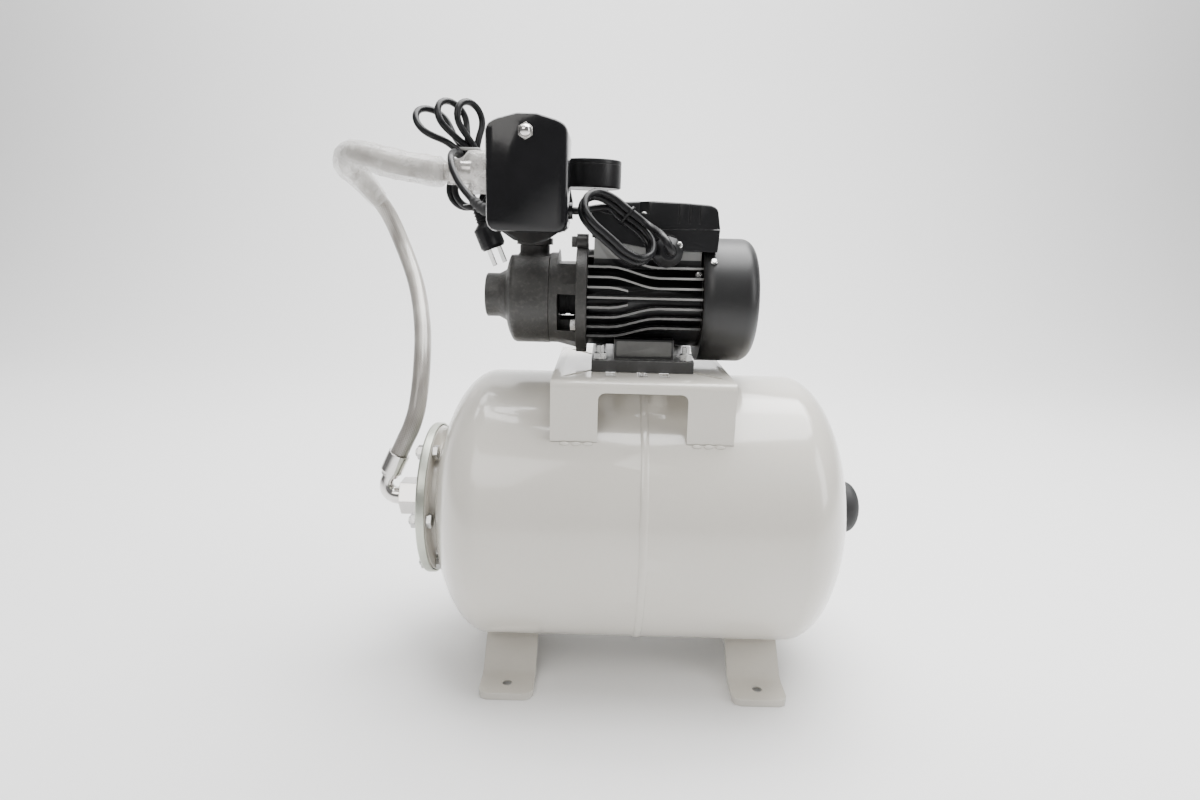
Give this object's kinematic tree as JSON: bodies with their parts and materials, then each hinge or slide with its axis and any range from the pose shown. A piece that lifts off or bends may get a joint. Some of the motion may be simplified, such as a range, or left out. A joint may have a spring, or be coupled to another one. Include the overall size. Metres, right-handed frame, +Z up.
{
  "type": "peripheral pump set",
  "caption": "Horizontal pressure tank on pressed feet carrying a peripheral pump with finned motor, pressure switch, gauge and braided hose.",
  "frame": {"origin": "on the floor under the middle of the rigid part, without its hose, leads and plug", "axes": "+X along the tank from the flange towards the air valve, +Y to the rear, away from the pressure switch, +Z up"},
  "size_m": [0.5484, 0.2813, 0.5601],
  "materials": {
    "adapter_bolt_1": "zinc plated",
    "adapter_bolt_2": "zinc plated",
    "adapter_bolt_3": "zinc plated",
    "adapter_bolt_4": "zinc plated",
    "air_valve_cap": "black moulded",
    "air_valve_core": "turned",
    "air_valve_stem": "turned",
    "base_bolt_1": "zinc plated",
    "base_bolt_2": "zinc plated",
    "base_bolt_3": "zinc plated",
    "base_bolt_4": "zinc plated",
    "bearing_front": "bare",
    "bearing_rear": "bare",
    "capacitor": "white moulded",
    "counter_flange": "zinc plated",
    "cover_nut": "polished",
    "elbow": "polished",
    "end_shield": "black paint",
    "fan": "black moulded",
    "fan_cover": "satin dark grey",
    "fan_cover_screw_1": "zinc plated",
    "fan_cover_screw_2": "zinc plated",
    "five_way_fitting": "polished",
    "flange_bolt_1": "zinc plated",
    "flange_bolt_2": "zinc plated",
    "flange_bolt_3": "zinc plated",
    "flange_bolt_4": "zinc plated",
    "flange_bolt_5": "zinc plated",
    "flange_bolt_6": "zinc plated",
    "foot_left": "cream gloss paint",
    "foot_right": "cream gloss paint",
    "gauge_case": "black moulded",
    "gauge_pointer": "black",
    "gauge_window": "clear",
    "hose": "steel braid under clear sleeve",
    "hose_ferrule": "polished",
    "hose_nut": "polished",
    "impeller": "cast",
    "mains_lead": "black flex",
    "mains_lead_hank": "black flex",
    "motor_gland": "black moulded",
    "motor_housing": "black paint",
    "motor_lead": "black flex",
    "motor_lead_hank": "black flex",
    "plug": "black moulded",
    "pump_adapter": "charcoal paint",
    "pump_bracket": "cream gloss paint",
    "pump_casing": "charcoal paint",
    "reducing_socket": "polished",
    "rotor_core": "bare",
    "shaft": "bare",
    "stator": "bare",
    "switch_base": "black moulded",
    "switch_cover": "black moulded",
    "switch_lever": "bare",
    "tank_membrane": "black rubber",
    "tank_shell_left": "cream gloss paint",
    "tank_shell_right": "cream gloss paint",
    "terminal_box": "black moulded",
    "terminal_box_lid": "black moulded"
  },
  "bodies": {
    "set": {"adapter_bolt_1": "adapter_bolt_1", "adapter_bolt_2": "adapter_bolt_2", "adapter_bolt_3": "adapter_bolt_3", "adapter_bolt_4": "adapter_bolt_4", "air_valve_stem": "air_valve_stem", "base_bolt_1": "base_bolt_1", "base_bolt_2": "base_bolt_2", "base_bolt_3": "base_bolt_3", "base_bolt_4": "base_bolt_4", "bearing_front": "bearing_front", "bearing_rear": "bearing_rear", "capacitor": "capacitor", "counter_flange": "counter_flange", "cover_nut": "cover_nut", "elbow": "elbow", "end_shield": "end_shield", "fan_cover": "fan_cover", "fan_cover_screw_1": "fan_cover_screw_1", "fan_cover_screw_2": "fan_cover_screw_2", "five_way_fitting": "five_way_fitting", "flange_bolt_1": "flange_bolt_1", "flange_bolt_2": "flange_bolt_2", "flange_bolt_3": "flange_bolt_3", "flange_bolt_4": "flange_bolt_4", "flange_bolt_5": "flange_bolt_5", "flange_bolt_6": "flange_bolt_6", "foot_left": "foot_left", "foot_right": "foot_right", "gauge_case": "gauge_case", "gauge_window": "gauge_window", "hose": "hose", "hose_ferrule": "hose_ferrule", "hose_nut": "hose_nut", "mains_lead": "mains_lead", "mains_lead_hank": "mains_lead_hank", "motor_gland": "motor_gland", "motor_housing": "motor_housing", "motor_lead": "motor_lead", "motor_lead_hank": "motor_lead_hank", "plug": "plug", "pump_adapter": "pump_adapter", "pump_bracket": "pump_bracket", "pump_casing": "pump_casing", "reducing_socket": "reducing_socket", "stator": "stator", "switch_base": "switch_base", "switch_cover": "switch_cover", "tank_membrane": "tank_membrane", "tank_shell_left": "tank_shell_left", "tank_shell_right": "tank_shell_right", "terminal_box": "terminal_box", "terminal_box_lid": "terminal_box_lid"},
    "rotor": {"shaft": "shaft", "rotor_core": "rotor_core", "impeller": "impeller", "fan": "fan"},
    "pointer": {"gauge_pointer": "gauge_pointer"},
    "valve_cap": {"air_valve_cap": "air_valve_cap"},
    "valve_core": {"air_valve_core": "air_valve_core"},
    "lever": {"switch_lever": "switch_lever"}
  },
  "joints": [
    {"name": "rotor_spin", "type": "hinge", "parent": "set", "child": "rotor", "pos_m": [0.0176, 0, 0.3734], "axis": [1, 0, 0], "continuous": true},
    {"name": "pointer_turn", "type": "hinge", "parent": "set", "child": "pointer", "pos_m": [-0.0352, 0, 0.4965], "axis": [0, 0, -1], "range_deg": [0, 270], "stiffness_Nm_per_rad": 0.0005},
    {"name": "valve_cap_pull", "type": "slide", "parent": "set", "child": "valve_cap", "axis": [1, 0, 0], "range_m": [0, 0.03]},
    {"name": "valve_core_push", "type": "slide", "parent": "set", "child": "valve_core", "axis": [-1, 0, 0], "range_m": [0, 0.0015], "stiffness_N_per_m": 400},
    {"name": "lever_tip", "type": "hinge", "parent": "set", "child": "lever", "pos_m": [-0.08465, -0.0608, 0.447], "axis": [1, 0, 0], "range_deg": [0, 4], "stiffness_Nm_per_rad": 1}
  ]
}
